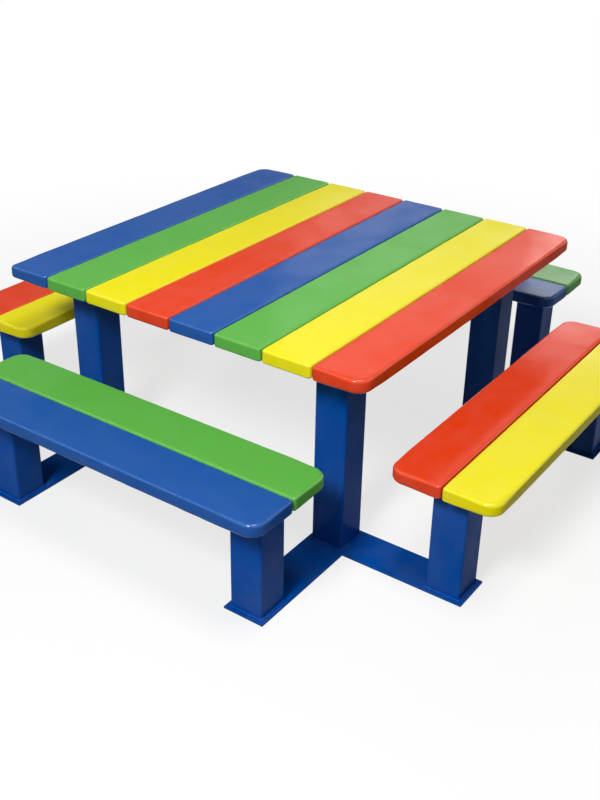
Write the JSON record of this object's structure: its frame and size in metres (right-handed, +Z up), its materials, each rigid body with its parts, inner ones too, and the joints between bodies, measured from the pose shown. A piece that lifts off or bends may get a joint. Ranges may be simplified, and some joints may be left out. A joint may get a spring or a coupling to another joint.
{
  "type": "children's picnic table",
  "caption": "Low square children's picnic table with a multicoloured slatted top, a slatted bench along each side, and square steel legs on flat L-shaped base plates.",
  "frame": {"origin": "on the ground under the middle of the table", "axes": "+Z up, Y along the table's slats with the front bench at -Y, X across the slats from the blue end slat at -X to the red end slat at +X"},
  "size_m": [1.557, 1.557, 0.5],
  "materials": {
    "slat_blue": "planed board in opaque blue satin-gloss paint",
    "slat_green": "planed board in opaque green satin-gloss paint",
    "slat_yellow": "planed board in opaque yellow satin-gloss paint",
    "slat_red": "planed board in opaque red satin-gloss paint",
    "frame_blue": "steel in satin-gloss blue powder coat",
    "fasteners": "bright zinc plate"
  },
  "bodies": {
    "root": {"base_plate_front_left": "frame_blue", "base_plate_front_right": "frame_blue", "base_plate_rear_left": "frame_blue", "base_plate_rear_right": "frame_blue", "bench_front_leg_left": "frame_blue", "bench_front_leg_right": "frame_blue", "bench_front_slat_inner_green": "slat_green", "bench_front_slat_outer_blue": "slat_blue", "bench_front_top_plate_left": "frame_blue", "bench_front_top_plate_right": "frame_blue", "bench_left_leg_front": "frame_blue", "bench_left_leg_rear": "frame_blue", "bench_left_slat_inner_yellow": "slat_yellow", "bench_left_slat_outer_red": "slat_red", "bench_left_top_plate_front": "frame_blue", "bench_left_top_plate_rear": "frame_blue", "bench_rear_leg_left": "frame_blue", "bench_rear_leg_right": "frame_blue", "bench_rear_slat_inner_blue": "slat_blue", "bench_rear_slat_outer_green": "slat_green", "bench_rear_top_plate_left": "frame_blue", "bench_rear_top_plate_right": "frame_blue", "bench_right_leg_front": "frame_blue", "bench_right_leg_rear": "frame_blue", "bench_right_slat_inner_red": "slat_red", "bench_right_slat_outer_yellow": "slat_yellow", "bench_right_top_plate_front": "frame_blue", "bench_right_top_plate_rear": "frame_blue", "rail_bolt_front_left": "fasteners", "rail_bolt_front_right": "fasteners", "rail_bolt_rear_left": "fasteners", "rail_bolt_rear_right": "fasteners", "rail_washer_front_left": "fasteners", "rail_washer_front_right": "fasteners", "rail_washer_rear_left": "fasteners", "rail_washer_rear_right": "fasteners", "rail_weld_nut_front_left": "fasteners", "rail_weld_nut_front_right": "fasteners", "rail_weld_nut_rear_left": "fasteners", "rail_weld_nut_rear_right": "fasteners", "slat_rail_front": "frame_blue", "slat_rail_rear": "frame_blue", "table_leg_cap_front_left": "frame_blue", "table_leg_cap_front_right": "frame_blue", "table_leg_cap_rear_left": "frame_blue", "table_leg_cap_rear_right": "frame_blue", "table_leg_front_left": "frame_blue", "table_leg_front_right": "frame_blue", "table_leg_rear_left": "frame_blue", "table_leg_rear_right": "frame_blue", "table_slat_1_blue": "slat_blue", "table_slat_2_green": "slat_green", "table_slat_3_yellow": "slat_yellow", "table_slat_4_red": "slat_red", "table_slat_5_blue": "slat_blue", "table_slat_6_green": "slat_green", "table_slat_7_yellow": "slat_yellow", "table_slat_8_red": "slat_red"}
  },
  "joints": []
}
